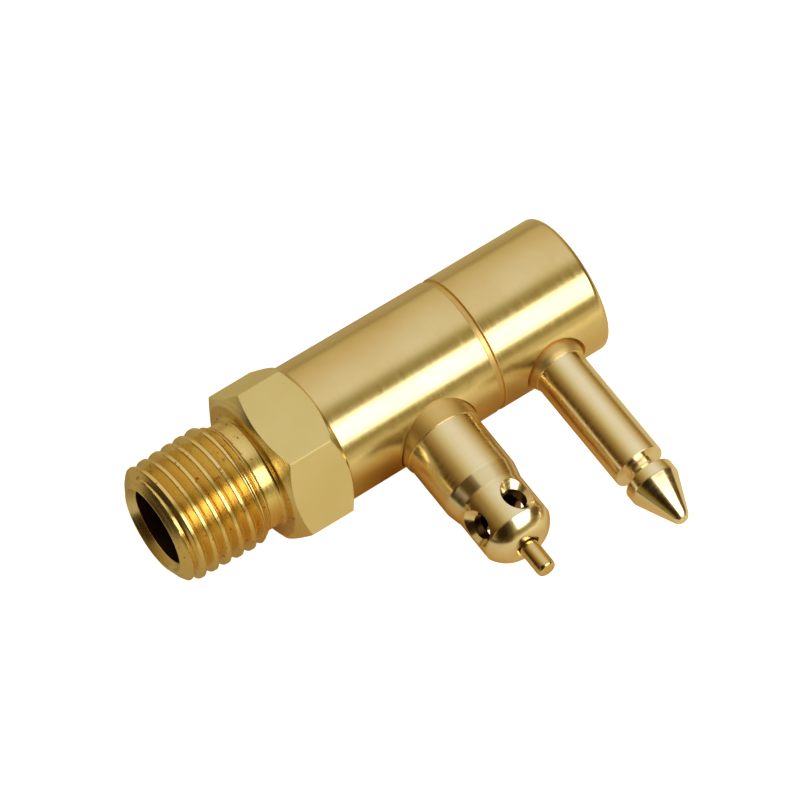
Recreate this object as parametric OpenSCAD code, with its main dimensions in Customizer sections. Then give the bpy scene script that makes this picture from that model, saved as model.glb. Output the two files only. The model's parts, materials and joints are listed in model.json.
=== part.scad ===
// Male two-prong fuel tank connector, turned from brass.
// The barrel lies along +X from the face of the pipe thread. Both prongs point to -Y.
// "Depth" values along a prong are measured from the barrel's axis outwards.

/* [Pipe thread] */
// Crest radius at the thread's open end
thread_r = 6.22; // [6.1:0.01:6.5]
// Axial distance from one crest to the next
thread_pitch = 1.411; // [1.2:0.001:1.6]
// Depth of the groove below the crest
thread_depth = 0.86; // [0.5:0.01:0.9]
// Length of the crest cone
thread_len = 8.85; // [8.65:0.05:9.1]
// Number of grooves along the thread
thread_grooves = 6; // [3:1:6]
// Radius of the bore at the thread end
inlet_r = 4.05; // [3.5:0.01:4.3]
// Depth of that bore from the face
inlet_len = 21; // [12:0.5:21]
// Radius of the bore's countersunk mouth
mouth_r = 4.6; // [4.4:0.01:4.8]
// Depth of that countersink
mouth_len = 0.85; // [0.3:0.05:1.5]
// Radius of the plain neck behind the thread
neck_r = 5.7; // [5:0.05:5.9]

/* [Hexagon] */
// Width across the flats
hex_across = 15.3; // [14.8:0.1:17]
// Where the hexagon starts
hex_start = 11.55; // [10.5:0.05:12]
// Length of the hexagon
hex_len = 6.8; // [5:0.1:8]
// Turn of a corner away from the prongs, in degrees
hex_turn = 5.3; // [0:0.1:30]

/* [Barrel] */
// Radius next to the hexagon
barrel_r = 7.34; // [7:0.01:7.4]
// Radius at the closed end
barrel_end_r = 7.22; // [7:0.01:7.4]
// Overall length from the thread's face to the closed end
body_len = 48.65; // [47:0.05:56]
// Centre of the ring groove
groove_x = 35.9; // [34:0.05:37]
// Width of the ring groove
groove_w = 0.6; // [0.3:0.05:1]
// Depth of the ring groove
groove_depth = 0.22; // [0.1:0.01:0.5]

/* [Fuel prong] */
// Place of the fuel prong along the barrel
prong_x = 28.35; // [27.6:0.05:29]
// Radius of the pressed-in collar
prong_collar_r = 4.35; // [4.3:0.05:4.6]
// Depth of the collar's outer face
prong_collar_top = 7.97; // [7.6:0.01:8.5]
// Radius of the shank
prong_r = 4.05; // [3.9:0.01:4.1]
// Depth where the shank starts to taper
prong_taper_start = 14.1; // [13:0.1:14.5]
// Depth where the taper meets the nose
prong_taper_end = 15.75; // [15:0.05:16]
// Radius of the nose
nose_r = 3.68; // [3.6:0.01:3.8]
// Depth where the nose starts to close
nose_break = 20.25; // [20.2:0.05:20.5]
// Radius of the crown in front of that edge
nose_crown_r = 3.5; // [3:0.1:4]
// Radius of the rounding between the crown and the flat tip
nose_round = 1.7; // [1.5:0.05:1.8]
// Number of fuel ports round the nose
port_count = 4; // [2:1:4]
// Depth of the port centres
port_depth = 18.2; // [17.8:0.1:18.2]
// Radius of each port
port_r = 1.2; // [0.8:0.05:1.3]
// Radius of each port's countersink at the surface
port_sink_r = 1.95; // [1.5:0.05:2.1]
// Turn of the first port from straight up, in degrees
port_turn = -22; // [-45:1:45]

/* [Valve] */
// Radius of the valve pin
valve_r = 1; // [0.9:0.01:1.05]
// Radial clearance of the pin in the nose
valve_gap = 0.06; // [0.02:0.01:0.1]
// Depth of the pin's outer end while the valve is shut
valve_tip = 25.2; // [24.9:0.1:26]
// Radius of the bore that holds the spring
spring_bore_r = 3; // [2.9:0.05:3.1]
// Depth of the shoulder that the seal shuts on
seat_depth = 14.6; // [14.4:0.1:14.8]
// Radius of the opening in that shoulder
seat_r = 2.2; // [2:0.05:2.3]
// Mean radius of the spring's coil
spring_r = 1.95; // [1.8:0.01:2.1]
// Radius of the spring's wire
spring_wire_r = 0.2; // [0.15:0.01:0.25]
// Number of coils
spring_turns = 7.5; // [6:0.5:8]

/* [Locating pin] */
// Place of the locating pin along the barrel
pin_x = 42.15; // [41:0.05:42.5]
// Radius of the pressed-in collar
pin_collar_r = 3.05; // [3:0.05:3.4]
// Radius of the shank
pin_r = 2.68; // [2.5:0.01:2.8]
// Depth where the shank ends at the snap groove
pin_shank_end = 20.85; // [20:0.05:21.2]
// Radius inside the snap groove
pin_neck_r = 1.55; // [1.2:0.05:1.8]
// Radius of the spear head
pin_head_r = 2.65; // [2.5:0.01:2.7]
// Depth of the spear's tip
pin_tip = 28.1; // [27.6:0.1:29]

/* [Hidden] */
$fn = 96;

// Overlap that keeps cuts clean
eps = 0.05;

// Pipe thread: the cone widens by 1 in 32 on the radius
thread_slope = 1 / 32;
lead_r = 5.7;
lead_len = 0.65;
thread_full_x = 1.15;
runout_len = 1;
groove_start_x = 0.85;
groove_overshoot = 0.12;
groove_root_half = 0.06;
groove_flank = tan(30);
neck_fillet = 0.3;

// Hexagon chamfers
hex_corner_r = hex_across / 2 / cos(30);
hex_end = hex_start + hex_len;
hex_front_face_r = 7.1;
hex_front_chamfer = 1;
hex_back_chamfer = 1.1;
chamfer_over = 0.4;

// Barrel end
end_round = 0.7;
end_round_steps = 5;

// Fuel way inside the barrel
drill_tip = 1 / tan(59);
passage_r = 2.2;
passage_end = prong_x + 1.4;
prong_floor = 2.6;
seal_thick = 0.6;
prong_base = prong_floor + seal_thick;
riser_r = 2.9;

// Fuel prong
collar_edge = 0.08;
collar_ledge = 0.15;
collar_straight = 6.3;
port_sink_depth = 0.75;
valve_bore_end = 19.6;
tip_recess_r = 1.28;
tip_recess_depth = 0.7;
nose_crown_from = 24;
nose_crown_to = 52;
nose_steps = 5;
nose_crown_end = nose_break + nose_crown_r * (sin(nose_crown_to) - sin(nose_crown_from));
nose_crown_end_r = nose_r + nose_crown_r * (cos(nose_crown_to) - cos(nose_crown_from));
prong_tip = nose_crown_end + nose_round * (1 - sin(nose_crown_to));

// Valve parts, with the valve shut
seal_face = seat_depth - 0.03;
seal_h = 1.5;
seal_r = 2.75;
seal_lip = 0.35;
clip_h = 0.35;
clip_r = 1.65;
clip_groove_r = 0.78;
flange_top = seal_face - seal_h;
flange_h = 0.9;
flange_r = 2.6;
tail_r = 1.15;
tail_len = 3;
valve_tip_edge = 0.35;
seat_ring_h = 0.9;
seat_ring_hole_r = 1.45;
spring_bottom = prong_base + seat_ring_h;
spring_top = flange_top - flange_h;
spring_steps = 14;
spring_sides = 6;

// Locating pin
pin_base = 3;
pin_collar_top = 7.2;
pin_flare_start = 6.2;
pin_flare_end = 7.3;
pin_flare_r = 3.45;
pin_ledge_r = pin_r + 0.12;
pin_ledge_depth = 7.8;
pin_end_edge = 0.2;
pin_neck_end = 21.75;
pin_head_start = 22.35;
pin_head_end = 23.5;
pin_point_start = 27.75;
pin_point_r = 0.85;
pin_point_flat_r = 0.55;

// Crest radius of the pipe thread at a place along the barrel
function crest_r(x) = thread_r + x * thread_slope;

// Turns a solid built on +Z so that it lies along the barrel
module along_barrel() {
    rotate([0, 90, 0]) children();
}

// Turns a solid built on +Z so that it stands out of the barrel at x
module along_prong(x) {
    translate([x, 0, 0]) rotate([90, 0, 0]) children();
}

// Triangles between ring i and ring i + 1 of a swept outline with n corners
function ring_faces(i, n) = [
    for (k = [0 : n - 1])
        let (a = i * n + k, b = i * n + (k + 1) % n)
        each [[a, b, b + n], [a, b + n, a + n]]
];

// Closed solid through a list of rings that have n points each
module swept(rings, n) {
    last = len(rings) - 1;
    polyhedron(
        points = [for (ring = rings) each ring],
        faces = concat(
            [for (i = [0 : last - 1]) each ring_faces(i, n)],
            [[for (k = [0 : n - 1]) n - 1 - k]],
            [[for (k = [0 : n - 1]) last * n + k]]
        ),
        convexity = 12
    );
}

// Half outline of one thread groove, radius against distance along the barrel
module groove_outline(x) {
    half = groove_root_half + (thread_depth + groove_overshoot) * groove_flank;
    root = crest_r(x) - thread_depth;
    top = crest_r(x) + groove_overshoot;
    polygon([[top, x - half], [root, x - groove_root_half], [root, x + groove_root_half], [top, x + half]]);
}

// Everything on the body that is turned round the barrel's axis
module turned_body() {
    thread_end = thread_len + runout_len;
    rotate_extrude() difference() {
        polygon([
            [0, 0],
            [mouth_r, 0],
            [lead_r, lead_len],
            [crest_r(thread_full_x), thread_full_x],
            [crest_r(thread_len), thread_len],
            [neck_r, thread_end],
            [neck_r, hex_start - neck_fillet],
            [neck_r + neck_fillet, hex_start],
            [neck_r + neck_fillet, hex_end - 1],
            [barrel_r, hex_end - 1],
            [barrel_r, hex_end],
            [barrel_end_r, groove_x - groove_w / 2],
            [barrel_end_r - groove_depth, groove_x - groove_w / 2],
            [barrel_end_r - groove_depth, groove_x + groove_w / 2],
            [barrel_end_r, groove_x + groove_w / 2],
            for (i = [0 : end_round_steps])
                let (a = 90 * i / end_round_steps)
                [barrel_end_r - end_round * (1 - cos(a)), body_len - end_round * (1 - sin(a))],
            [0, body_len]
        ]);
        for (k = [0 : thread_grooves - 1]) groove_outline(groove_start_x + k * thread_pitch);
    }
}

// Hexagon with turned chamfers at both ends, whose cones run on past the corners and into the barrel
module hexagon() {
    front_slope = (hex_corner_r - hex_front_face_r) / hex_front_chamfer;
    back_slope = (hex_corner_r - barrel_r) / hex_back_chamfer;
    intersection() {
        translate([0, 0, hex_start])
            rotate([0, 0, 30 + hex_turn])
                cylinder(r = hex_corner_r, h = hex_len + chamfer_over, $fn = 6);
        rotate_extrude() polygon([
            [0, hex_start - chamfer_over],
            [hex_front_face_r - front_slope * chamfer_over, hex_start - chamfer_over],
            [hex_corner_r + chamfer_over, hex_start + hex_front_chamfer + chamfer_over / front_slope],
            [hex_corner_r + chamfer_over, hex_end - hex_back_chamfer - chamfer_over / back_slope],
            [barrel_r - chamfer_over, hex_end + chamfer_over / back_slope],
            [0, hex_end + chamfer_over / back_slope]
        ]);
    }
}

// Countersunk inlet bore and the narrower passage behind it, both with drill points
module fuel_way() {
    mouth_slope = (mouth_r - inlet_r) / mouth_len;
    translate([0, 0, -eps]) cylinder(r1 = mouth_r + mouth_slope * eps, r2 = inlet_r, h = mouth_len + eps);
    translate([0, 0, -eps]) cylinder(r = inlet_r, h = inlet_len + eps);
    translate([0, 0, inlet_len])
        cylinder(r1 = inlet_r, r2 = 0, h = inlet_r * drill_tip);
    translate([0, 0, inlet_len]) cylinder(r = passage_r, h = passage_end - inlet_len);
    translate([0, 0, passage_end])
        cylinder(r1 = passage_r, r2 = 0, h = passage_r * drill_tip);
}

module body() {
    color("goldenrod") difference() {
        along_barrel() difference() {
            union() {
                turned_body();
                hexagon();
            }
            fuel_way();
        }
        along_prong(prong_x) {
            translate([0, 0, prong_floor]) cylinder(r = prong_collar_r, h = barrel_r);
            cylinder(r = riser_r, h = prong_floor + eps);
        }
        along_prong(pin_x) {
            translate([0, 0, pin_base]) cylinder(r = pin_collar_r, h = barrel_r);
            translate([0, 0, pin_flare_start])
                cylinder(r1 = pin_collar_r, r2 = pin_flare_r, h = pin_flare_end - pin_flare_start);
        }
    }
}

// Points of an arc in the half outline of the nose, from its end point at the angle "from"
function nose_arc(r, end_r, end_depth, from, to) = [
    for (i = [0 : nose_steps])
        let (a = from + (to - from) * i / nose_steps)
        [end_r + r * (cos(a) - cos(from)), end_depth + r * (sin(a) - sin(from))]
];

// Half outline of the fuel prong, radius against depth
module prong_outline() {
    polygon([
        [0, prong_base],
        [prong_collar_r, prong_base],
        [prong_collar_r, collar_straight],
        [prong_r + collar_ledge, prong_collar_top - collar_edge],
        [prong_r + collar_ledge - collar_edge, prong_collar_top],
        [prong_r, prong_collar_top],
        [prong_r, prong_taper_start],
        [nose_r, prong_taper_end],
        each nose_arc(nose_crown_r, nose_r, nose_break, nose_crown_from, nose_crown_to),
        for (i = [1 : nose_steps])
            nose_arc(nose_round, nose_crown_end_r, nose_crown_end, nose_crown_to, 90)[i],
        [0, prong_tip]
    ]);
}

// One countersunk port, drilled from the prong's axis outwards
module port() {
    sink_start = nose_r - port_sink_depth;
    sink_slope = (port_sink_r - port_r) / port_sink_depth;
    rotate([0, 90, 0]) {
        cylinder(r = port_r, h = nose_r + 1);
        translate([0, 0, sink_start])
            cylinder(r1 = port_r, r2 = port_r + sink_slope * (port_sink_depth + 1), h = port_sink_depth + 1);
    }
}

module fuel_prong() {
    color("gold") along_prong(prong_x) difference() {
        rotate_extrude() prong_outline();
        translate([0, 0, prong_base - eps])
            cylinder(r = spring_bore_r, h = seat_depth - prong_base + eps);
        translate([0, 0, seat_depth - eps]) cylinder(r = seat_r, h = valve_bore_end - seat_depth + eps);
        cylinder(r = valve_r + valve_gap, h = prong_tip + 1);
        translate([0, 0, prong_tip - tip_recess_depth]) cylinder(r = tip_recess_r, h = tip_recess_depth + 1);
        for (i = [0 : port_count - 1])
            translate([0, 0, port_depth]) rotate([0, 0, 90 + port_turn + i * 360 / port_count]) port();
    }
}

module prong_seal() {
    color("dimgray") along_prong(prong_x) translate([0, 0, prong_floor]) difference() {
        cylinder(r = prong_collar_r - 0.1, h = seal_thick);
        translate([0, 0, -eps]) cylinder(r = spring_bore_r + 0.1, h = seal_thick + 2 * eps);
    }
}

module locating_pin() {
    color("gold") along_prong(pin_x) rotate_extrude() polygon([
        [0, pin_base],
        [pin_collar_r, pin_base],
        [pin_collar_r, pin_collar_top],
        [pin_ledge_r, pin_ledge_depth],
        [pin_r, pin_ledge_depth],
        [pin_r, pin_shank_end - pin_end_edge],
        [pin_r - pin_end_edge, pin_shank_end],
        [pin_neck_r, pin_shank_end],
        [pin_neck_r, pin_neck_end],
        [pin_head_r, pin_head_start],
        [pin_head_r, pin_head_end],
        [pin_point_r, pin_point_start],
        [pin_point_flat_r, pin_tip],
        [0, pin_tip]
    ]);
}

module valve_pin() {
    color("khaki") along_prong(prong_x) rotate_extrude() polygon([
        [0, spring_top - tail_len],
        [tail_r, spring_top - tail_len],
        [tail_r, spring_top],
        [flange_r, spring_top],
        [flange_r, flange_top],
        [valve_r, flange_top],
        [valve_r, seal_face],
        [clip_groove_r, seal_face],
        [clip_groove_r, seal_face + clip_h],
        [valve_r, seal_face + clip_h],
        [valve_r, valve_tip - valve_tip_edge],
        [valve_r - valve_tip_edge, valve_tip],
        [0, valve_tip]
    ]);
}

module valve_seal() {
    color("black") along_prong(prong_x) rotate_extrude() polygon([
        [valve_r, flange_top],
        [seal_r, flange_top],
        [seal_r, seal_face - seal_lip],
        [seal_r - seal_lip, seal_face],
        [valve_r, seal_face]
    ]);
}

// Retaining ring, open at one side so that it snaps into the pin's groove
module seal_clip() {
    color("silver") along_prong(prong_x) translate([0, 0, seal_face]) difference() {
        cylinder(r = clip_r, h = clip_h);
        translate([0, 0, -eps]) cylinder(r = clip_groove_r, h = clip_h + 2 * eps);
        translate([0, -clip_groove_r, -eps]) cube([clip_r + 1, 2 * clip_groove_r, clip_h + 2 * eps]);
    }
}

// Points round the spring's wire after t turns; the end coils lie flat
function spring_ring(t) =
    let (
        dead = 1,
        low = spring_bottom + spring_wire_r,
        high = spring_top - spring_wire_r,
        wire_d = 2 * spring_wire_r,
        active = spring_turns - 2 * dead,
        lift = t < dead ? wire_d * t
             : t > spring_turns - dead ? high - low - wire_d * (spring_turns - t)
             : wire_d + (high - low - 2 * wire_d) * (t - dead) / active
    )
    [
        for (k = [0 : spring_sides - 1])
            let (
                a = 360 * k / spring_sides,
                r = spring_r + spring_wire_r * cos(a)
            )
            [r * cos(360 * t), r * sin(360 * t), low + lift - spring_wire_r * sin(a)]
    ];

module valve_spring() {
    color("lightgray") along_prong(prong_x)
        swept([for (i = [0 : spring_turns * spring_steps]) spring_ring(i / spring_steps)], spring_sides);
}

module spring_seat() {
    color("khaki") along_prong(prong_x) translate([0, 0, prong_base]) difference() {
        cylinder(r = spring_bore_r, h = seat_ring_h);
        translate([0, 0, -eps]) cylinder(r = seat_ring_hole_r, h = seat_ring_h + 2 * eps);
    }
}

body();
fuel_prong();
prong_seal();
locating_pin();
valve_pin();
valve_seal();
seal_clip();
valve_spring();
spring_seat();
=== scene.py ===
import json
import math

import bmesh
import bpy
import numpy as np
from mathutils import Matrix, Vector


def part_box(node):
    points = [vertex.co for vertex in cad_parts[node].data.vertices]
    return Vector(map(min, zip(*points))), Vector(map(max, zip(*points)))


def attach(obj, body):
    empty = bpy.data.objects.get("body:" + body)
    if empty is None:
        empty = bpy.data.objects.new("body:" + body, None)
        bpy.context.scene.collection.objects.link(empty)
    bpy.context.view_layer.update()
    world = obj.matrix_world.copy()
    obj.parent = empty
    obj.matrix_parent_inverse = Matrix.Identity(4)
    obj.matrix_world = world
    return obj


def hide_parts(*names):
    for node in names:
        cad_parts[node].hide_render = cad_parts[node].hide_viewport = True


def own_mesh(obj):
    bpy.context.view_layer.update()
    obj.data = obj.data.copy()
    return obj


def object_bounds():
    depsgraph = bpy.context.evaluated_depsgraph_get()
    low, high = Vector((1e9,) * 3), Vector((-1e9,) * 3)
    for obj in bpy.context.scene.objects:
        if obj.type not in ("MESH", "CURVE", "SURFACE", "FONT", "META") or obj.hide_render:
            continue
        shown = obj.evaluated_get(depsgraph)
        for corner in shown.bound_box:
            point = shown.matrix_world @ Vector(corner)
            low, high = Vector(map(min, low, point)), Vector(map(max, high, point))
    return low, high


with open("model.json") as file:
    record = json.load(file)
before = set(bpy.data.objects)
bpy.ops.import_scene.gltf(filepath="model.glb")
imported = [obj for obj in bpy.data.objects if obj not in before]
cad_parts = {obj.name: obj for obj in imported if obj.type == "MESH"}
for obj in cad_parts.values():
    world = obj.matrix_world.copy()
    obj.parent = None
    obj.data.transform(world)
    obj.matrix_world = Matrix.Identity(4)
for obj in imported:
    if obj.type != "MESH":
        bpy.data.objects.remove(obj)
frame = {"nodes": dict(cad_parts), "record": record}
CAD_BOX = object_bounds()

# Lengths are in millimetres, in the frame's axes, and become metres in Skin.build.
MM = 0.001
MOUNTS = {m["name"]: m for m in frame["record"]["mounts"]}


def mm(value):
    return value / MM


# ---------------------------------------------------------------- sizes, from the frame

BODY_LEN = mm(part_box("body")[1].x)
PRONG_X = mm(MOUNTS["fuel_prong_plug"]["pos_m"][0])
PIN_X = mm(MOUNTS["locating_pin_plug"]["pos_m"][0])
PRONG_R = MOUNTS["fuel_prong_plug"]["dims"]["r_mm"]
PIN_R = MOUNTS["locating_pin_plug"]["dims"]["r_mm"]
INLET_R = MOUNTS["fuel_inlet"]["dims"]["r_mm"]
PRONG_BASE = mm(-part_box("fuel_prong")[1].y)
PRONG_TIP = mm(-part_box("fuel_prong")[0].y)
PIN_BASE = mm(-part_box("locating_pin")[1].y)
PIN_TIP = mm(-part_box("locating_pin")[0].y)
VALVE_TAIL = mm(-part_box("valve_pin")[1].y)
VALVE_TIP = mm(-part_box("valve_pin")[0].y)
SEAL_TOP = mm(-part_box("valve_seal")[0].y)
FLANGE_TOP = mm(-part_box("valve_seal")[1].y)
SPRING_LOW = mm(-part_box("valve_spring")[1].y)
SPRING_HIGH = mm(-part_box("valve_spring")[0].y)

# Pipe thread: the crests' cone, one pitch of the groove, and the ends of the turned blank
THREAD_R = 6.22
THREAD_SLOPE = 1 / 32
THREAD_PITCH = 1.411
THREAD_DEPTH = 0.84
THREAD_PHASE = -12.1
CREST_HALF = 0.19
CREST_SOFT = 0.09
THREAD_FROM = 0.1
THREAD_TO = 10.05
LEAD_EDGE, LEAD_EDGE_R = 0.65, 5.7
LEAD_END = 1.15
RUNOUT_FROM, RUNOUT_TO = 8.6, 9.8
RIPPLE, RIPPLE_PITCH = 0.035, 0.37
NECK_R = 5.7
MOUTH_R = 4.6
MOUTH_LEN = 0.85
INLET_END = 21.0
DRILL_POINT = 1 / math.tan(math.radians(59))
PASSAGE_R = 2.2
PASSAGE_END = PRONG_X + 1.4

# Hexagon and barrel
HEX_ACROSS = 15.3
HEX_FROM = 11.55
HEX_TO = 18.35
HEX_TURN = 5.3
HEX_FACE_R = 7.1
CORNER_R = HEX_ACROSS / 2 / math.cos(math.radians(30))
CORNER_CUT = 0.04
FRONT_SLOPE = CORNER_R - HEX_FACE_R
BARREL_R = 7.34
BARREL_END_R = 7.22
BACK_SLOPE = (CORNER_R - BARREL_R) / 1.1
GROOVE_X = 35.9
GROOVE_W = 0.6
GROOVE_DEPTH = 0.22
END_ROUND = 0.7

# Fuel prong: its collar, shank, taper, nose, ports and bores
COLLAR_R = 4.35
COLLAR_EDGE = 6.3
COLLAR_TOP = 7.97
COLLAR_LEDGE = 0.15
TAPER_FROM = 14.1
TAPER_TO = 15.75
NOSE_R = 3.68
NOSE_BREAK = 20.25
NOSE_CROWN_R = 3.5
NOSE_CROWN = (math.radians(24), math.radians(52))
NOSE_ROUND = 1.7
NOSE_EDGE_R = 0.4
PORTS = 4
PORT_DEPTH = 18.2
PORT_R = 1.2
PORT_SINK_R = 1.95
PORT_SINK_DEPTH = 0.75
PORT_TURN = -22.0
# Half the turn, in degrees, that a port takes up on the nose and in the bore
SINK_SPAN, PORT_SPAN = 32, 33
SPRING_BORE_R = 3.0
SEAT_DEPTH = 14.6
SEAT_R = 2.2
VALVE_BORE_END = 19.6
STEM_HOLE_R = 1.06
TIP_RECESS_R = 1.27
TIP_RECESS_DEPTH = 0.7
# The stretches of nose and bore that hold the ports
NOSE_FROM, NOSE_TO = 15.95, 20.07
BORE_FROM, BORE_TO = 19.35, 16.5

# Holes in the barrel for the two prongs
HOLE_GAP = 0.02
FUEL_HOLE_FLOOR = 2.6
SEAL_RECESS_R, SEAL_RECESS_DEPTH = 2.9, 0.3
PIN_FLARE, PIN_FLARE_DEPTH = 0.33, 0.6
# The window in the barrel's grid round each hole: half its length, its rows and half its turn in degrees
FUEL_WINDOW = (5.3, 21, 42)
PIN_WINDOW = (4.6, 19, 35)

# Locating pin: its collar, shank, snap neck and spear head
PIN_COLLAR_R = 3.05
PIN_COLLAR_EDGE = 7.2
PIN_COLLAR_TOP = 7.8
PIN_COLLAR_LEDGE = 0.12
PIN_SHANK_END = 20.85
PIN_NECK_R = 1.55
PIN_NECK_END = 21.75
PIN_HEAD_R = 2.65
PIN_HEAD_FROM, PIN_HEAD_TO = 22.35, 23.5
SPEAR_END, SPEAR_END_R = 27.75, 0.85
SPEAR_TIP_R = 0.55

# Valve pin: its tail, flange, stem and clip groove
TAIL_R = 1.15
TAIL_CHAMFER = 0.2
FLANGE_R = 2.6
STEM_R = 1.0
CLIP_GROOVE_R = 0.78
CLIP_H = 0.35
STEM_TIP_ROUND = 0.55

# Finish numbers, which are places in a piece's list of materials
BARREL, THREAD, BORE, CHAMFER, DRAWN, DULLED = range(6)
PRONG, PRONG_BORE, PRONG_COLLAR = range(3)
PIN_COLLAR = 1


# ---------------------------------------------------------------- mesh building


class Skin:
    """A surface turned about an axis, built row by row, with finish numbers for its materials."""

    def __init__(self, origin, axis, up, side, angles):
        self.origin, self.axis = np.array(origin, float), np.array(axis, float)
        self.up, self.side = np.array(up, float), np.array(side, float)
        self.angles = np.asarray(angles, float)
        self.points, self.params, self.faces, self.finish = [], [], [], []
        self.finish_now = 0

    def at(self, along, radius, angle):
        a = math.radians(angle)
        return self.origin + along * self.axis + radius * (math.cos(a) * self.up + math.sin(a) * self.side)

    def point(self, place, param=None):
        self.points.append(place)
        self.params.append(param)
        return len(self.points) - 1

    def row(self, along, radius):
        """A ring of points; along and radius are numbers or functions of the angle in degrees."""
        ids = []
        for angle in self.angles:
            x = along(angle) if callable(along) else along
            r = radius(angle) if callable(radius) else radius
            ids.append(self.point(self.at(x, r, angle), (x, angle)))
        return ids

    def face(self, *ids):
        kept = [v for n, v in enumerate(ids) if v != ids[n - 1]]
        if len(set(kept)) > 2:
            self.faces.append(kept)
            self.finish.append(self.finish_now)

    def bridge(self, a, b, skip=()):
        for k in range(len(a)):
            if k not in skip:
                m = (k + 1) % len(a)
                self.face(a[k], a[m], b[m], b[k])

    def bridges(self, rows, skip=()):
        for a, b in zip(rows, rows[1:]):
            self.bridge(a, b, skip)

    def profile(self, outline, start=None):
        """Rows through (along, radius) points, joined to each other and to the row start."""
        rows = [start] if start else []
        rows += [self.row(x, r) for x, r in outline]
        self.bridges(rows)
        return rows[-1]

    def cap(self, ring, along):
        centre = self.point(self.origin + along * self.axis)
        for k in range(len(ring)):
            self.face(ring[k], ring[(k + 1) % len(ring)], centre)

    def window(self, rows, first, last):
        """The loop of points round a rectangular gap that spans all the rows, from column first to last."""
        loop = [rows[0][c] for c in range(first, last)]
        loop += [row[last] for row in rows[:-1]]
        loop += [rows[-1][c] for c in range(last, first, -1)]
        loop += [row[first] for row in rows[:0:-1]]
        return loop

    def patch(self, loop, edge, surface_r, turn, steps=(0.62, 0.34, 0.15, 0.05, 0)):
        """Fills the surface between a window's loop and the hole's edge, given as (along, angle) points."""
        ring = loop
        outer = [(self.params[v][0], unwrap(self.params[v][1], turn)) for v in loop]
        for share in steps:
            ids = []
            for (x1, a1), (x0, a0) in zip(outer, edge):
                x, a = x0 + (x1 - x0) * share, a0 + (a1 - a0) * share
                ids.append(self.point(self.at(x, surface_r(x), a), (x, a)))
            self.bridge(ring, ids)
            ring = ids
        return ring

    def ring_at(self, places):
        return [self.point(p) for p in places]

    def build(self, name, materials, body, nodes, slot, sharp=28):
        used = sorted({v for f in self.faces for v in f})
        new = {v: n for n, v in enumerate(used)}
        mesh = bpy.data.meshes.new(name)
        mesh.from_pydata(
            [Vector(self.points[v]) * MM for v in used], [], [[new[v] for v in f] for f in self.faces]
        )
        for material in materials:
            mesh.materials.append(material)
        mesh.polygons.foreach_set("material_index", self.finish)
        finish_mesh(mesh, sharp)
        piece = bpy.data.objects.new(name, mesh)
        bpy.context.scene.collection.objects.link(piece)
        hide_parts(*nodes)
        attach(piece, body)
        return piece


def prong_skin(x, columns, turn=0):
    """The skin of a piece on a prong's axis, with an even number of columns from an angle."""
    angles = [turn + 360 * n / columns for n in range(columns)]
    return Skin((x, 0, 0), (0, -1, 0), (0, 0, 1), (-1, 0, 0), angles)


def unwrap(angle, near):
    return near + (angle - near + 180) % 360 - 180


def finish_mesh(mesh, sharp):
    """Turns every face outwards, shades it smooth and keeps the edges above an angle crisp."""
    work = bmesh.new()
    work.from_mesh(mesh)
    bmesh.ops.recalc_face_normals(work, faces=work.faces)
    work.to_mesh(mesh)
    work.free()
    mesh.shade_smooth()
    mesh.set_sharp_from_angle(angle=math.radians(sharp))


def softened(corners, steps=4):
    """An outline with each (along, radius, softness) corner turned into a small curve."""
    outline = []
    for n, (x, r, soft) in enumerate(corners):
        here = np.array([x, r])
        if soft == 0 or n in (0, len(corners) - 1):
            outline.append((x, r))
            continue
        ends = []
        for other in (corners[n - 1], corners[n + 1]):
            way = np.array(other[:2]) - here
            ends.append(here + way / np.linalg.norm(way) * min(soft, 0.45 * np.linalg.norm(way)))
        for k in range(steps + 1):
            t = k / steps
            p = (1 - t) ** 2 * ends[0] + 2 * t * (1 - t) * here + t**2 * ends[1]
            outline.append((p[0], p[1]))
    return outline


def ellipse_angles(loop_params, centre, half_along, half_angle):
    """The direction of each point of a window's loop, seen from the hole's centre, in radians."""
    return [
        math.atan2((unwrap(a, centre[1]) - centre[1]) / half_angle, (x - centre[0]) / half_along)
        for x, a in loop_params
    ]


# ---------------------------------------------------------------- body


def crest_r(x):
    return THREAD_R + x * THREAD_SLOPE


def lead_r(x):
    """The turned blank's radius along the thread: lead-in, crest cone and run-out to the neck."""
    places = [0, LEAD_EDGE, LEAD_END, RUNOUT_FROM, RUNOUT_TO]
    radii = [MOUTH_R, LEAD_EDGE_R, crest_r(LEAD_END), crest_r(RUNOUT_FROM), NECK_R]
    torn = RUNOUT_FROM + 0.1 < x < RUNOUT_TO + 0.1
    ripple = RIPPLE * math.sin(2 * math.pi * x / RIPPLE_PITCH) if torn else 0
    return np.interp(x, places, radii) + ripple


def groove_floor(x):
    """The lowest radius that the thread tool reaches: it enters at the lead and backs out into the neck."""
    places = [0, 0.9, 2.3, 7.05, 8.55, 9.55, 9.95]
    radii = [5.8, 5.66, 5.2, 5.3, NECK_R - 0.09, NECK_R - 0.03, NECK_R]
    return np.interp(x, places, radii)


def thread_cut(offset):
    """Depth of the groove at a distance from the crest's centre, with slightly rounded edges."""
    flank = (abs(offset) - CREST_HALF) / math.tan(math.radians(30))
    if flank < -CREST_SOFT:
        return 0.0
    if flank < CREST_SOFT:
        return (flank + CREST_SOFT) ** 2 / (4 * CREST_SOFT)
    return min(flank, THREAD_DEPTH)


def thread_r(x, offset):
    groove = max(crest_r(x) - thread_cut(offset), groove_floor(x))
    return min(lead_r(x), groove)


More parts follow.
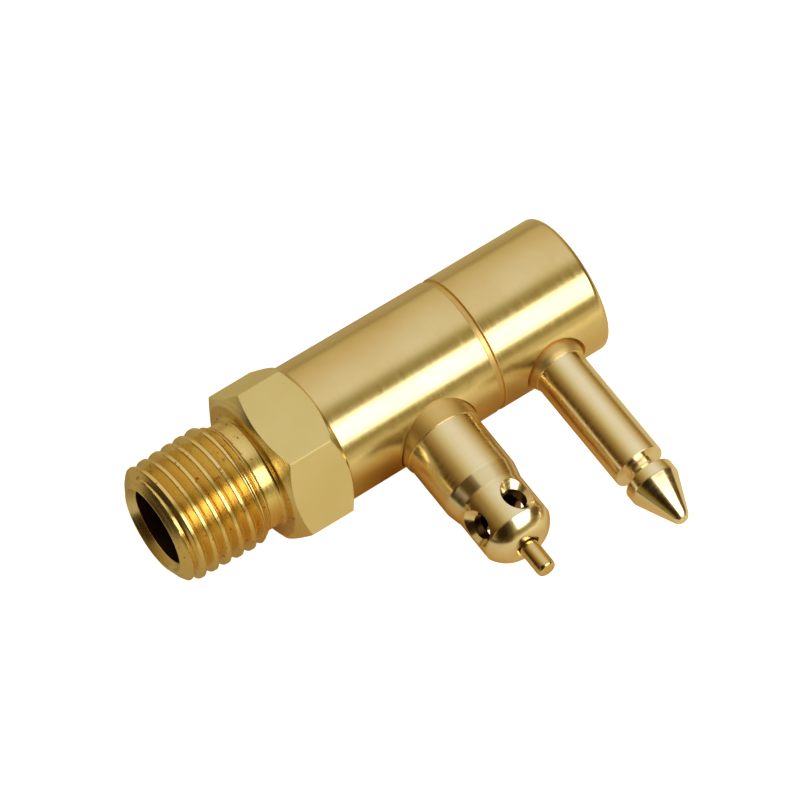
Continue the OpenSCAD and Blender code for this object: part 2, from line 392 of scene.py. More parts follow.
def thread_rows(skin):
    """The helical thread as one strip whose rows follow the crest; returns its first and last ring."""
    half = THREAD_PITCH / 2
    crest = [0, 0.06, 0.115, 0.15, 0.175, 0.2, 0.225, 0.25]
    side = crest + [0.29, 0.34, 0.39, 0.44, 0.5, 0.56, 0.61, 0.66, half]
    offsets = [-s for s in side[:0:-1]] + side[:-1]
    per_turn = len(offsets)
    turns = range(-2, math.ceil(THREAD_TO / THREAD_PITCH) + 2)
    known = {}

    def vertex(row, column):
        turn, step = divmod(row, per_turn)
        if column == len(skin.angles):
            turn, column = turn + 1, 0
        angle = skin.angles[column]
        centre = THREAD_PITCH * (turns[0] + turn + (angle - THREAD_PHASE) / 360)
        x = min(max(centre + offsets[step], THREAD_FROM), THREAD_TO)
        key = (round(x, 5), column)
        if key not in known:
            offset = (x - centre + half) % THREAD_PITCH - half
            known[key] = skin.point(skin.at(x, thread_r(x, offset), angle), (x, angle))
        return known[key]

    for row in range(per_turn * (len(turns) - 1) - 1):
        for column in range(len(skin.angles)):
            skin.face(
                vertex(row, column),
                vertex(row, column + 1),
                vertex(row + 1, column + 1),
                vertex(row + 1, column),
            )
    ends = [round(float(x), 5) for x in (THREAD_FROM, THREAD_TO)]
    return [[known[(x, c)] for c in range(len(skin.angles))] for x in ends]


def hex_r(angle):
    off = (angle - HEX_TURN + 30) % 60 - 30
    return min(HEX_ACROSS / 2 / math.cos(math.radians(off)), CORNER_R - CORNER_CUT)


def barrel_r(x):
    return float(np.interp(x, [HEX_TO, GROOVE_X - GROOVE_W / 2], [BARREL_R, BARREL_END_R]))


def body_angles():
    """Steps of one degree that meet the hexagon's corners, with closer steps beside each corner."""
    steps = [HEX_TURN + n for n in range(360)]
    for corner in range(6):
        at = HEX_TURN + 30 + 60 * corner
        steps += [at - 0.7, at - 0.35, at + 0.35, at + 0.7]
    return sorted(s % 360 for s in steps)


def prong_hole(skin, rows, x, radius, floor, half_angle, flare=0.07, flare_depth=0.06, recess=(0, 0)):
    """A hole in the barrel for a prong: its edge on the barrel, a flare, its wall and its floor.

    floor is the floor's distance from the barrel's axis. recess is the radius and depth of a step in it."""
    columns = [n for n, a in enumerate(skin.angles) if abs(a - 90) < half_angle]
    first, last = columns[0], columns[-1]
    inside = set(range(first, last))
    skin.bridges(rows, skip=inside)
    loop = skin.window(rows, first, last)
    edge_r = radius + flare
    spread = math.degrees(math.asin(edge_r / barrel_r(x)))
    turns = ellipse_angles([skin.params[v] for v in loop], (x, 90), edge_r, spread)

    def rim(r, sink):
        places = []
        for t in turns:
            z, along = r * math.sin(t), x + r * math.cos(t)
            places.append((along, math.sqrt(barrel_r(along) ** 2 - z * z) - sink, -z))
        return places

    def circle(r, y):
        return skin.ring_at([np.array([x + r * math.cos(t), y, -r * math.sin(t)]) for t in turns])

    edge = [(along, 90 + math.degrees(math.atan2(-z, out))) for along, out, z in rim(edge_r, 0)]
    ring = skin.patch(loop, edge, barrel_r, 90)
    skin.finish_now = DULLED
    wall = skin.ring_at([np.array([a, -out, z]) for a, out, z in rim(radius, flare_depth)])
    skin.bridge(ring, wall)
    deep = circle(radius, -floor)
    skin.bridge(wall, deep)
    recess_r, recess_depth = recess
    if recess_r:
        lip = circle(recess_r, -floor)
        skin.bridge(deep, lip)
        deep = circle(recess_r, recess_depth - floor)
        skin.bridge(lip, deep)
    centre = skin.point(np.array([x, recess_depth - floor, 0.0]))
    for k in range(len(deep)):
        skin.face(deep[k], deep[(k + 1) % len(deep)], centre)
    skin.finish_now = BARREL


def make_body(materials):
    skin = Skin((0, 0, 0), (1, 0, 0), (0, 0, 1), (0, -1, 0), body_angles())
    skin.finish_now = BORE
    tip = skin.row(PASSAGE_END, PASSAGE_R)
    skin.cap(tip, PASSAGE_END + PASSAGE_R * DRILL_POINT)
    bore = skin.profile(
        [
            (INLET_END + (INLET_R - PASSAGE_R) * DRILL_POINT, PASSAGE_R),
            (INLET_END, INLET_R),
            (MOUTH_LEN + 0.1, INLET_R),
        ],
        start=tip,
    )
    skin.finish_now = CHAMFER
    mouth = skin.profile(
        softened(
            [
                (MOUTH_LEN + 0.1, INLET_R, 0),
                (MOUTH_LEN, INLET_R, 0.05),
                (0, MOUTH_R, 0.1),
                (THREAD_FROM, float(lead_r(THREAD_FROM)), 0),
            ]
        )[1:-1],
        start=bore,
    )
    skin.finish_now = THREAD
    thread_start, thread_end = thread_rows(skin)
    skin.bridge(mouth, thread_start)
    neck = skin.profile(
        softened(
            [
                (THREAD_TO, NECK_R, 0),
                (HEX_FROM, NECK_R, 0.45),
                (HEX_FROM, HEX_FACE_R, 0.1),
                (HEX_FROM + 0.2, HEX_FACE_R + 0.2 * FRONT_SLOPE, 0),
            ],
            steps=6,
        )[1:-1],
        start=thread_end,
    )
    skin.finish_now = CHAMFER
    front = skin.row(lambda a: HEX_FROM + (hex_r(a) - HEX_FACE_R) / FRONT_SLOPE, hex_r)
    skin.bridge(neck, front)
    skin.finish_now = DRAWN
    back = skin.row(lambda a: HEX_TO - (hex_r(a) - BARREL_R) / BACK_SLOPE, hex_r)
    skin.bridge(front, back)
    skin.finish_now = CHAMFER
    shoulder = skin.row(HEX_TO, BARREL_R)
    skin.bridge(back, shoulder)

    skin.finish_now = BARREL
    half, count, half_turn = FUEL_WINDOW
    hole_rows = [skin.row(x, barrel_r(x)) for x in np.linspace(PRONG_X - half, PRONG_X + half, count)]
    skin.bridge(shoulder, hole_rows[0])
    recess = (SEAL_RECESS_R, SEAL_RECESS_DEPTH)
    prong_hole(skin, hole_rows, PRONG_X, COLLAR_R + HOLE_GAP, FUEL_HOLE_FLOOR, half_turn, recess=recess)
    low, high = GROOVE_X - GROOVE_W / 2, GROOVE_X + GROOVE_W / 2
    bottom = BARREL_END_R - GROOVE_DEPTH
    before = skin.row(low - 0.1, barrel_r(low - 0.1))
    skin.bridge(hole_rows[-1], before)
    skin.finish_now = DULLED
    after = skin.profile(
        softened(
            [
                (low - 0.1, barrel_r(low - 0.1), 0),
                (low, BARREL_END_R, 0.05),
                (low + 0.05, bottom, 0.05),
                (high - 0.05, bottom, 0.05),
                (high, BARREL_END_R, 0.04),
                (high + 0.1, BARREL_END_R, 0),
            ]
        )[1:],
        start=before,
    )
    skin.finish_now = BARREL
    half, count, half_turn = PIN_WINDOW
    pin_rows = [skin.row(x, BARREL_END_R) for x in np.linspace(PIN_X - half, PIN_X + half, count)]
    skin.bridge(after, pin_rows[0])
    flare = (PIN_FLARE, PIN_FLARE_DEPTH)
    prong_hole(skin, pin_rows, PIN_X, PIN_COLLAR_R + HOLE_GAP, PIN_BASE, half_turn, *flare)
    arc = [math.radians(15 * n) for n in range(7)]
    rim = skin.profile(
        [
            (
                BODY_LEN - END_ROUND * (1 - math.sin(a)),
                BARREL_END_R - END_ROUND * (1 - math.cos(a)),
            )
            for a in arc
        ]
        + [(BODY_LEN, r) for r in (5, 3, 1)],
        start=pin_rows[-1],
    )
    skin.cap(rim, BODY_LEN)
    return skin.build("body_shell", materials, "fitting", ["body"], "turned_brass")


# ---------------------------------------------------------------- fuel prong


def nose_r(depth):
    """The radius of the taper and of the nose behind its break."""
    return float(np.interp(depth, [TAPER_FROM, TAPER_TO], [PRONG_R, NOSE_R]))


def nose_arc(start, radius, low, high, count):
    """Points of an arc that starts at a (depth, radius) point and turns from one slope to another."""
    x, r = start[0] - radius * math.sin(low), start[1] - radius * math.cos(low)
    return [(x + radius * math.sin(a), r + radius * math.cos(a)) for a in np.linspace(low, high, count)]


def nose_front():
    """The nose in front of its ports: a softened edge, a crown, and a tighter round to the flat tip."""
    low, high = NOSE_CROWN
    edge = [
        (NOSE_BREAK - NOSE_EDGE_R * math.sin(low - a), NOSE_R - NOSE_EDGE_R * (1 - math.cos(a)))
        for a in np.linspace(0.1, low, 4)[:-1]
    ]
    crown = nose_arc((NOSE_BREAK, NOSE_R), NOSE_CROWN_R, low, high, 9)
    return edge + crown + nose_arc(crown[-1], NOSE_ROUND, high, math.pi / 2, 10)[1:]


def port_edge(t, surface_r):
    """Where the countersink's cone comes out of the nose at turn t, as (depth, angle off the port)."""
    slope = (PORT_SINK_R - PORT_R) / PORT_SINK_DEPTH
    low, high = 1.0, NOSE_R + 1
    for _ in range(40):
        out = (low + high) / 2
        wide = PORT_R + (out - (NOSE_R - PORT_SINK_DEPTH)) * slope
        across, along = wide * math.sin(t), wide * math.cos(t)
        if math.hypot(out, across) < surface_r(PORT_DEPTH + along):
            low = out
        else:
            high = out
    return PORT_DEPTH + along, math.degrees(math.atan2(across, out))


def bore_edge(t):
    """Where the port's drilled hole meets the nose bore, as (depth, angle off the port)."""
    across, along = PORT_R * math.sin(t), PORT_R * math.cos(t)
    return PORT_DEPTH + along, math.degrees(math.asin(across / SEAT_R))


def make_fuel_prong(materials):
    per_port, half_window = 64, 28
    skin = prong_skin(PRONG_X, PORTS * per_port, PORT_TURN + 180 / PORTS)
    middles = [per_port // 2 + per_port * n for n in range(PORTS)]
    port_columns = [(middle - half_window, middle + half_window) for middle in middles]
    in_window = {c for first, last in port_columns for c in range(first, last)}

    base = skin.row(PRONG_BASE, COLLAR_R)
    ledge = (COLLAR_TOP, PRONG_R + COLLAR_LEDGE / 2, 0)
    skin.finish_now = PRONG_COLLAR
    collar = skin.profile(
        softened(
            [
                (PRONG_BASE, COLLAR_R, 0),
                (COLLAR_EDGE, COLLAR_R, 0.3),
                (COLLAR_TOP, PRONG_R + COLLAR_LEDGE, 0.06),
                ledge,
            ],
            steps=5,
        )[1:],
        start=base,
    )
    skin.finish_now = PRONG
    outside = skin.profile(
        softened(
            [
                ledge,
                (COLLAR_TOP, PRONG_R, 0.05),
                (TAPER_FROM, PRONG_R, 0.12),
                (TAPER_TO, NOSE_R, 0.12),
                (NOSE_FROM - 0.03, NOSE_R, 0),
            ],
            steps=5,
        )[1:-1],
        start=collar,
    )
    nose_rows = [skin.row(d, nose_r(d)) for d in np.linspace(NOSE_FROM, NOSE_TO, 16)]
    skin.bridge(outside, nose_rows[0])
    skin.bridges(nose_rows, skip=in_window)
    mouth = skin.profile(
        nose_front()
        + [
            (PRONG_TIP, TIP_RECESS_R + 0.13),
            (PRONG_TIP - 0.03, TIP_RECESS_R + 0.03),
            (PRONG_TIP - 0.08, TIP_RECESS_R),
            (PRONG_TIP - TIP_RECESS_DEPTH, TIP_RECESS_R),
            (PRONG_TIP - TIP_RECESS_DEPTH, STEM_HOLE_R),
        ],
        start=nose_rows[-1],
    )
    skin.finish_now = PRONG_BORE
    bore_end = [(VALVE_BORE_END, r) for r in (STEM_HOLE_R, SEAT_R - 0.02, SEAT_R)]
    bore_top = skin.profile(bore_end, start=mouth)
    bore_rows = [skin.row(d, SEAT_R) for d in np.linspace(BORE_FROM, BORE_TO, 17)]
    skin.bridge(bore_top, bore_rows[0])
    skin.bridges(bore_rows, skip=in_window)
    spring_bore = [(SEAT_DEPTH, SEAT_R), (SEAT_DEPTH, SPRING_BORE_R), (PRONG_BASE, SPRING_BORE_R)]
    back = skin.profile(spring_bore, start=bore_rows[-1])
    skin.bridge(back, base)

    for n, (first, last) in enumerate(port_columns):
        turn = PORT_TURN + 360 / PORTS * (n + 1)
        outer = skin.window(nose_rows, first, last)
        inner = skin.window(bore_rows[::-1], first, last)
        outer_turns, inner_turns = (
            ellipse_angles([skin.params[v] for v in loop], (PORT_DEPTH, turn), r, wide)
            for loop, r, wide in ((outer, PORT_SINK_R, SINK_SPAN), (inner, PORT_R, PORT_SPAN))
        )
        skin.finish_now = PRONG
        sink_edge = [(d, turn + a) for d, a in (port_edge(t, nose_r) for t in outer_turns)]
        rim = skin.patch(outer, sink_edge, nose_r, turn)
        skin.finish_now = PRONG_BORE
        drilled_edge = [(d, turn + a) for d, a in map(bore_edge, inner_turns)]
        hole = skin.patch(inner, drilled_edge, lambda d: SEAT_R, turn)
        a = math.radians(turn)
        out = math.cos(a) * skin.up + math.sin(a) * skin.side
        across = math.cos(a) * skin.side - math.sin(a) * skin.up
        neck = skin.ring_at(
            [
                skin.origin
                + (NOSE_R - PORT_SINK_DEPTH) * out
                + PORT_R * math.sin(t) * across
                + (PORT_DEPTH + PORT_R * math.cos(t)) * skin.axis
                for t in outer_turns
            ]
        )
        skin.finish_now = PRONG
        skin.bridge(rim, neck)
        skin.finish_now = PRONG_BORE
        skin.bridge(neck, hole)
    return skin.build("fuel_prong_shell", materials, "fitting", ["fuel_prong"], "prong_brass")


# ---------------------------------------------------------------- locating pin and valve


def make_locating_pin(materials):
    skin = prong_skin(PIN_X, 192)
    start = skin.row(PIN_BASE, PIN_COLLAR_R)
    skin.cap(start, PIN_BASE)
    ledge = (PIN_COLLAR_TOP, PIN_R + PIN_COLLAR_LEDGE / 2, 0)
    skin.finish_now = PIN_COLLAR
    collar = skin.profile(
        softened(
            [
                (PIN_BASE, PIN_COLLAR_R, 0),
                (PIN_COLLAR_EDGE, PIN_COLLAR_R, 0.2),
                (PIN_COLLAR_TOP, PIN_R + PIN_COLLAR_LEDGE, 0.06),
                ledge,
            ],
            steps=6,
        )[1:],
        start=start,
    )
    skin.finish_now = PRONG
    tip = skin.profile(
        softened(
            [
                ledge,
                (PIN_COLLAR_TOP, PIN_R, 0.05),
                (PIN_SHANK_END, PIN_R, 0.1),
                (PIN_SHANK_END, PIN_NECK_R, 0.1),
                (PIN_NECK_END, PIN_NECK_R, 0.1),
                (PIN_HEAD_FROM, PIN_HEAD_R, 0.1),
                (PIN_HEAD_TO, PIN_HEAD_R, 0.12),
                (SPEAR_END, SPEAR_END_R, 0.15),
                (PIN_TIP, SPEAR_TIP_R, 0.12),
                (PIN_TIP, 0.1, 0),
            ],
            steps=6,
        )[1:],
        start=collar,
    )
    skin.cap(tip, PIN_TIP)
    return skin.build("locating_pin_turned", materials, "fitting", ["locating_pin"], "prong_brass")


def make_valve_pin(materials):
    skin = prong_skin(PRONG_X, 96)
    start = skin.row(VALVE_TAIL, TAIL_R - TAIL_CHAMFER)
    skin.cap(start, VALVE_TAIL)
    tip = skin.profile(
        softened(
            [
                (VALVE_TAIL, TAIL_R - TAIL_CHAMFER, 0),
                (VALVE_TAIL + TAIL_CHAMFER, TAIL_R, 0.1),
                (SPRING_HIGH, TAIL_R, 0.08),
                (SPRING_HIGH, FLANGE_R, 0.1),
                (FLANGE_TOP, FLANGE_R, 0.1),
                (FLANGE_TOP, STEM_R, 0.02),
                (SEAL_TOP, STEM_R, 0.02),
                (SEAL_TOP, CLIP_GROOVE_R, 0.02),
                (SEAL_TOP + CLIP_H, CLIP_GROOVE_R, 0.02),
                (SEAL_TOP + CLIP_H, STEM_R, 0.02),
                (VALVE_TIP, STEM_R, STEM_TIP_ROUND),
                (VALVE_TIP, 0.1, 0),
            ],
            steps=5,
        )[1:],
        start=start,
    )
    skin.cap(tip, VALVE_TIP)
    return skin.build("valve_pin_turned", materials, "valve", ["valve_pin"], "valve_brass")


def make_spring(materials):
    """The wire of the valve spring, with flat end coils."""
    # The wire's radius, its turns, the rings to a turn and the points to a ring
    wire, turns, steps, sides = 0.2, 7.5, 40, 14
    coil_r = mm(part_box("valve_spring")[1].z) - wire
    free = SPRING_HIGH - SPRING_LOW - 2 * wire
    skin = prong_skin(PRONG_X, 1)

    def lift(t):
        return float(np.interp(t, [0, 1, turns - 1, turns], [0, 2 * wire, free - 2 * wire, free]))

    def wire_ring(t):
        middle, turn = SPRING_LOW + wire + lift(t), 90 - 360 * t
        around = [2 * math.pi * k / sides for k in range(sides)]
        return skin.ring_at(
            [skin.at(middle + wire * math.sin(a), coil_r + wire * math.cos(a), turn) for a in around]
        )

    rings = [wire_ring(n / steps) for n in range(int(turns * steps) + 1)]
    skin.bridges(rings)
    for ring in (rings[0][::-1], rings[-1]):
        skin.face(*ring)
    piece = skin.build("valve_spring_wire", materials, "fitting", ["valve_spring"], "spring_steel", sharp=60)
    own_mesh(piece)
    return piece


# ---------------------------------------------------------------- materials


def add(tree, kind, **values):
    """A node of one kind. The values are its settings and its sockets, by name or as i and a number."""
    node = tree.nodes.new(kind)
    for name, value in values.items():
        if hasattr(node, name) and name not in node.inputs:
            setattr(node, name, value)
            continue
        by_number = name[0] == "i" and name[1:].isdigit()
        socket = node.inputs[int(name[1:]) if by_number else name.replace("_", " ")]
        if isinstance(value, bpy.types.NodeSocket):
            tree.links.new(value, socket)
        else:
            socket.default_value = value
    return node


def calc(tree, operation, a, b):
    return add(tree, "ShaderNodeMath", operation=operation, i0=a, i1=b).outputs[0]


def blend(tree, share, a, b, mode="MIX"):
    """Colour a turning into colour b as the share goes from 0 to 1."""
    a, b = (c if isinstance(c, bpy.types.NodeSocket) else (*c, 1) for c in (a, b))
    return add(tree, "ShaderNodeMix", data_type="RGBA", blend_type=mode, i0=share, i6=a, i7=b).outputs[2]


def stretched_noise(tree, coords, scale, detail=2.0, roughness=0.5):
    """Noise whose grain is set for each axis, in cycles per metre."""
    place = add(tree, "ShaderNodeMapping", Vector=coords, Scale=scale).outputs["Vector"]
    noise = add(tree, "ShaderNodeTexNoise", Vector=place, Scale=1.0, Detail=detail, Roughness=roughness)
    return noise.outputs["Fac"]


def ramp(tree, fac, low, high, to_low=0.0, to_high=1.0):
    return add(
        tree,
        "ShaderNodeMapRange",
        Value=fac,
        From_Min=low,
        From_Max=high,
        To_Min=to_low,
        To_Max=to_high,
    ).outputs["Result"]


def marks(tree, coords, scales, width, depth):
    """Fine scratches, where a noise crosses its middle value, kept only in patches."""
    wave = stretched_noise(tree, coords, scales, detail=1)
    rising = ramp(tree, wave, 0.5 - width, 0.5)
    falling = ramp(tree, wave, 0.5, 0.5 + width, 1, 0)
    patches = ramp(tree, stretched_noise(tree, coords, (170, 170, 170), detail=1), 0.52, 0.64, 0, depth)
    return calc(tree, "MULTIPLY", calc(tree, "MULTIPLY", rising, falling), patches)


def new_material(name):
    """An empty material with its tree, its shader and the object's own coordinates."""
    material = bpy.data.materials.new(name)
    material.use_nodes = True
    tree = material.node_tree
    return material, tree, tree.nodes["Principled BSDF"], add(tree, "ShaderNodeTexCoord").outputs["Object"]


def set_surface(tree, shader, colour, rough, metallic, height, distance, strength=1.0):
    bumped = add(tree, "ShaderNodeBump", Strength=strength, Distance=distance, Height=height)
    tree.links.new(colour, shader.inputs["Base Color"])
    tree.links.new(rough, shader.inputs["Roughness"])
    tree.links.new(bumped.outputs["Normal"], shader.inputs["Normal"])
    shader.inputs["Metallic"].default_value = metallic


def brass(
    name,
    colour,
    dark,
    rough,
    lines,
    cross=60,
    bump=2e-6,
    rough_spread=0.08,
    metallic=1.0,
    specks=0.0,
    scratches=None,
):
    """Turned brass in two close colours.

    lines is how many turning lines there are per metre along each axis; where it is 0, cross is used.
    specks is how far dark spots cover the brass, and scratches holds the settings of marks."""
    material, tree, shader, coords = new_material(name)
    fine = stretched_noise(tree, coords, [s or cross for s in lines], detail=3, roughness=0.7)
    broad = stretched_noise(tree, coords, [s / 7 or cross for s in lines], detail=2)
    cloud = stretched_noise(tree, coords, (180, 180, 180), detail=3)
    paint = blend(tree, ramp(tree, cloud, 0.35, 0.7), colour, dark)
    if specks:
        grains = stretched_noise(tree, coords, (2300, 2300, 2300), detail=1)
        paint = blend(tree, ramp(tree, grains, 0.68, 0.74, 0, specks), paint, (0.2, 0.08, 0.02))
    height = calc(tree, "ADD", fine, broad)
    if scratches:
        height = calc(tree, "SUBTRACT", height, marks(tree, coords, *scratches))
    sheen = ramp(tree, fine, 0.3, 0.7, rough - rough_spread, rough + rough_spread)
    set_surface(tree, shader, paint, sheen, metallic, height, bump)
    return material


def dull(name, colour, rough, grain, metallic=0.0, bump=4e-6):
    """An even, fine-grained surface, for rubber and drawn wire; grain is in cycles per metre."""
    material, tree, shader, coords = new_material(name)
    fine = stretched_noise(tree, coords, (grain, grain, grain), detail=4)
    paint = blend(tree, fine, [c * 0.75 for c in colour], [min(1, c * 1.2) for c in colour])
    sheen = ramp(tree, fine, 0.3, 0.7, rough - 0.06, rough + 0.06)
    set_surface(tree, shader, paint, sheen, metallic, fine, bump, strength=0.6)
    return material


barrel_brass = brass(
    "barrel_brass",
    (0.83, 0.68, 0.36),
    (0.79, 0.61, 0.29),
    0.21,
    (7000, 0, 0),
    cross=220,
    bump=3e-6,
    rough_spread=0.05,
    scratches=((900, 2200, 2200), 0.05, 0.4),
)
thread_brass = brass("thread_brass", (0.88, 0.7, 0.31), (0.82, 0.6, 0.22), 0.25, (5000, 0, 0), specks=0.7)
# Bore walls: the same brass painted near black, as painted shade inside the drilled passages
bore_brass = brass("bore_brass", (0.14, 0.08, 0.035), (0.1, 0.05, 0.02), 0.45, (4000, 0, 0))
chamfer_brass = brass("chamfer_brass", (0.93, 0.8, 0.45), (0.88, 0.72, 0.36), 0.25, (5000, 0, 0))
collar_brass = brass("collar_brass", (0.84, 0.64, 0.29), (0.76, 0.53, 0.2), 0.42, (0, 5000, 0), bump=3e-6)
drawn_brass = brass(
    "drawn_brass",
    (0.93, 0.8, 0.41),
    (0.88, 0.74, 0.34),
    0.55,
    (60, 3000, 3000),
    bump=4e-6,
    metallic=0.5,
    scratches=((25, 900, 900), 0.04, 2.5),
)
prong_brass = brass("prong_brass", (0.95, 0.84, 0.6), (0.92, 0.78, 0.5), 0.19, (0, 7000, 0), bump=1.8e-6)
# The prong's bore and port holes: brass painted dark brown, as painted shade inside them
prong_bore = brass("prong_bore", (0.3, 0.19, 0.07), (0.22, 0.13, 0.05), 0.4, (0, 4000, 0))
valve_brass = brass("valve_brass", (0.82, 0.64, 0.33), (0.78, 0.58, 0.26), 0.2, (0, 6000, 0))
seal_rubber = dull("seal_rubber", (0.025, 0.025, 0.027), 0.6, 9000)
spring_steel = dull("spring_steel", (0.6, 0.6, 0.58), 0.28, 6000, metallic=1.0)

make_body([barrel_brass, thread_brass, bore_brass, chamfer_brass, drawn_brass, collar_brass])
make_fuel_prong([prong_brass, prong_bore, collar_brass])
make_locating_pin([prong_brass, collar_brass])
make_valve_pin([valve_brass])
make_spring([spring_steel])

# The pieces inside that keep their CAD shape
CAD_FINISH = {
    "prong_seal": seal_rubber,
    "valve_seal": seal_rubber,
    "seal_clip": spring_steel,
    "spring_seat": valve_brass,
}
for node, material in CAD_FINISH.items():
    mesh = frame["nodes"][node].data
    mesh.materials.clear()
    mesh.materials.append(material)


# ---------------------------------------------------------------- camera, floor and light

scene = bpy.context.scene
scene.view_settings.view_transform = "Standard"
scene.view_settings.look = "None"

# The camera's angle, the point that it looks at, its distance in metres and the millimetres it sees there
AZIMUTH, ELEVATION = math.radians(-35), math.radians(59)
AIM = Vector((25.41, -4.86, 6.57)) * MM
DISTANCE = 1.0
VIEW_WIDTH = 76.19
BACK = Vector(
    (
        math.sin(AZIMUTH) * math.cos(ELEVATION),
        -math.cos(AZIMUTH) * math.cos(ELEVATION),
        math.sin(ELEVATION),
    )
)
camera_data = bpy.data.cameras.new("camera")
camera_data.sensor_width = 36
camera_data.lens = camera_data.sensor_width * DISTANCE / (VIEW_WIDTH * MM)
camera_data.clip_start = 0.01
camera_data.clip_end = 20
camera = bpy.data.objects.new("camera", camera_data)
camera.location = AIM + BACK * DISTANCE
camera.rotation_euler = BACK.to_track_quat("Z", "Y").to_euler()
scene.collection.objects.link(camera)
scene.camera = camera

# Metres: half the floor's width, its gap below the brass, the middle of its warm patch, which is painted
# brass glow and painted shadow, where the patch starts and ends to fade, and the edge of the painted shade on
# the left
FLOOR_HALF = 3.0
FLOOR_GAP = 0.00002
FLOOR_MIDDLE = (0.026, -0.007)
FLOOR_FADE = (0.008, 0.03)
FLOOR_LEFT = (-0.034, -0.026)
# Colours of the floor: painted glow and painted shadow next to the brass, the far floor, and painted shade on
# the far left
FLOOR_GLOW_AND_SHADOW = (0.82, 0.47, 0.1)
FLOOR_FAR = (0.84, 0.77, 0.56)
FLOOR_LEFT_SHADE = (0.03, 0.02, 0.01)


def floor_paint():
    """A pale floor that glows white to the camera only, so that the brass still mirrors its shadows.

    It is painted warm and darker next to the brass, a painted glow of light thrown back by the brass with
    painted shadow, and painted dark on the far left as painted shade for the brass to mirror."""
    material, tree, shader, place = new_material("floor_paint")
    offset = add(tree, "ShaderNodeVectorMath", operation="SUBTRACT", i0=place, i1=(*FLOOR_MIDDLE, 0))
    reach = add(tree, "ShaderNodeVectorMath", operation="LENGTH", i0=offset.outputs["Vector"])
    # Painted glow and painted shadow next to the brass, fading out to the far floor's colour
    paint = blend(tree, ramp(tree, reach.outputs["Value"], *FLOOR_FADE), FLOOR_GLOW_AND_SHADOW, FLOOR_FAR)
    along = add(tree, "ShaderNodeSeparateXYZ", Vector=place).outputs["X"]
    # Painted shade: the floor darkens to near black on the far left
    left_shaded = blend(tree, ramp(tree, along, *FLOOR_LEFT), FLOOR_LEFT_SHADE, paint)
    tree.links.new(left_shaded, shader.inputs["Base Color"])
    shader.inputs["Roughness"].default_value = 0.9
    shader.inputs["Emission Strength"].default_value = 1.0
    seen = add(tree, "ShaderNodeLightPath").outputs["Is Camera Ray"]
    tree.links.new(blend(tree, seen, (0, 0, 0), (1, 1, 1)), shader.inputs["Emission Color"])
    return material


def make_floor():
    level = CAD_BOX[0].z - FLOOR_GAP
    corners = [(x * FLOOR_HALF, y * FLOOR_HALF, level) for x, y in ((-1, -1), (1, -1), (1, 1), (-1, 1))]
    mesh = bpy.data.meshes.new("floor")
    mesh.from_pydata(corners, [], [(0, 1, 2, 3)])
    mesh.materials.append(floor_paint())
    floor = bpy.data.objects.new("floor", mesh)
    scene.collection.objects.link(floor)


def colour_bands(tree, fac, low, high, bands):
    """A colour ramp through (place, red, green, blue) bands, whose places run from low to high."""
    node = add(tree, "ShaderNodeValToRGB", Fac=ramp(tree, fac, low, high))
    elements = node.color_ramp.elements
    for n, (place, *colour) in enumerate(bands):
        position = (place - low) / (high - low)
        element = elements[n] if n < 2 else elements.new(position)
        element.position = position
        element.color = (*colour, 1)
    return node.outputs["Color"]


# Light at each turn about the X axis, in degrees from straight up towards -Y
TENT = [
    (-180, 0.4, 0.34, 0.22),
    (-100, 0.52, 0.44, 0.27),
    (-84, 0.6, 0.52, 0.3),
    (-61, 0.71, 0.62, 0.46),
    (-35, 0.77, 0.73, 0.64),
    (-8, 0.83, 0.8, 0.75),
    (1, 0.73, 0.7, 0.56),
    (9, 0.38, 0.32, 0.14),
    (18, 0.26, 0.2, 0.05),
    (60, 0.26, 0.2, 0.05),
    (78, 0.25, 0.19, 0.04),
    (84, 0.62, 0.54, 0.3),
    (95, 0.8, 0.74, 0.5),
    (180, 0.5, 0.44, 0.3),
]
# Share of that light at each x, from -1 at the left to 1 at the right: behind the brass and in front
BACK_SHARE = [
    (-1, 0.05, 0.02, 0.01),
    (-0.84, 0.13, 0.07, 0.02),
    (-0.73, 0.28, 0.18, 0.05),
    (-0.53, 0.49, 0.36, 0.14),
    (-0.3, 0.75, 0.66, 0.4),
    (-0.03, 0.91, 0.9, 0.74),
    (0.24, 1, 1, 1),
    (0.5, 1, 1, 1),
    (0.73, 0.82, 0.77, 0.6),
    (0.84, 0.68, 0.58, 0.3),
    (0.91, 0.5, 0.32, 0.09),
    (1, 0.2, 0.1, 0.03),
]
FRONT_SHARE = [
    (-1, 0.95, 0.93, 0.85),
    (-0.93, 0.9, 0.85, 0.72),
    (-0.87, 0.3, 0.22, 0.1),
    (-0.82, 0.08, 0.05, 0.02),
    (-0.52, 0.07, 0.04, 0.016),
    (-0.42, 0.22, 0.15, 0.07),
    (-0.3, 0.27, 0.2, 0.1),
    (-0.22, 0.95, 0.93, 0.85),
    (0.3, 1, 1, 1),
    (0.6, 1, 1, 1),
    (0.75, 0.6, 0.52, 0.35),
    (1, 0.3, 0.18, 0.06),
]
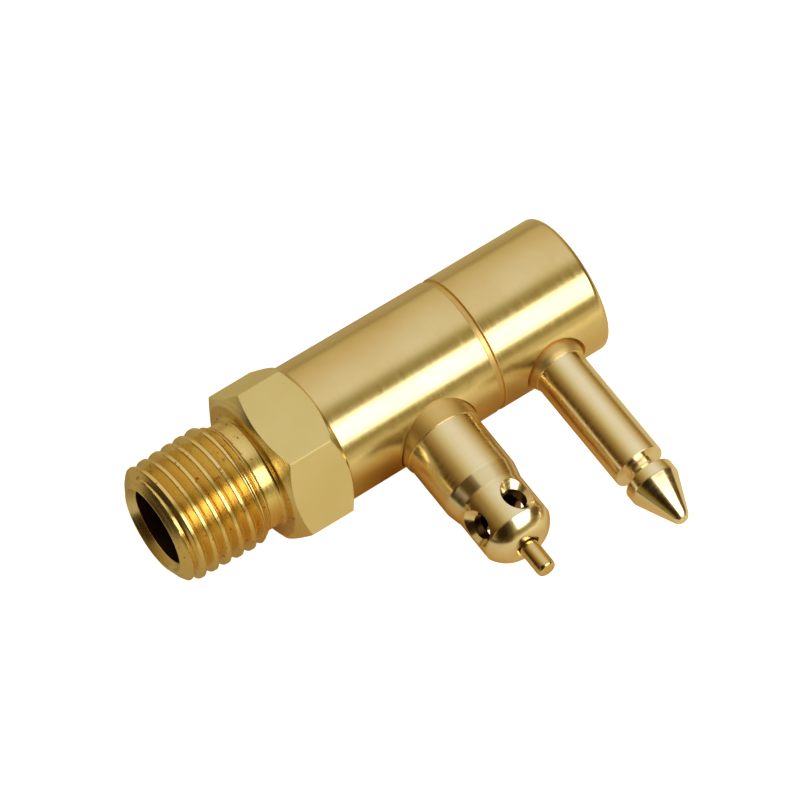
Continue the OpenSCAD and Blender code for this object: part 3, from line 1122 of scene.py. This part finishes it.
# Turns that count as in front
FRONT = [(-180, 0), (-9, 0), (-4, 1), (88, 1), (94, 0), (180, 0)]


def studio_world():
    """A soft tent turned about the X axis: pale behind the object, darker towards both sides and in front."""
    world = bpy.data.worlds.new("studio")
    world.use_nodes = True
    scene.world = world
    tree = world.node_tree
    background = tree.nodes["Background"]
    way = add(tree, "ShaderNodeTexCoord").outputs["Generated"]
    x, y, z = add(tree, "ShaderNodeSeparateXYZ", Vector=way).outputs
    angle = calc(tree, "ARCTAN2", calc(tree, "MULTIPLY", y, -1.0), z)
    turn = calc(tree, "MULTIPLY", angle, 180 / math.pi)
    front = colour_bands(tree, turn, -180, 180, [(place, v, v, v) for place, v in FRONT])
    behind, ahead = (colour_bands(tree, x, -1, 1, bands) for bands in (BACK_SHARE, FRONT_SHARE))
    share = blend(tree, front, behind, ahead)
    tent = blend(tree, 1.0, colour_bands(tree, turn, -180, 180, TENT), share, "MULTIPLY")
    seen = add(tree, "ShaderNodeLightPath").outputs["Is Camera Ray"]
    tree.links.new(blend(tree, seen, tent, (1, 1, 1)), background.inputs["Color"])


# The softbox's near left corner and its size, in millimetres, and how bright the brass sees it
SOFTBOX_X, SOFTBOX_Y, SOFTBOX_Z = 18.0, -72.0, 130.0
SOFTBOX_WIDE, SOFTBOX_DEEP = 196.0, 182.0
SOFTBOX_GLOW = 2.3


def softbox():
    """One level rectangular light above the front, which the turned brass mirrors as a crisp white band."""
    light = bpy.data.lights.new("softbox", "AREA")
    light.shape = "RECTANGLE"
    light.size, light.size_y = SOFTBOX_WIDE * MM, SOFTBOX_DEEP * MM
    # An area light's face glows with a quarter of its power over its area.
    light.energy = 4 * SOFTBOX_GLOW * light.size * light.size_y
    light.color = (1, 0.98, 0.91)
    lamp = bpy.data.objects.new("softbox", light)
    lamp.location = Vector((SOFTBOX_X + SOFTBOX_WIDE / 2, SOFTBOX_Y - SOFTBOX_DEEP / 2, SOFTBOX_Z)) * MM
    lamp.visible_camera = False
    scene.collection.objects.link(lamp)


make_floor()
softbox()
studio_world()
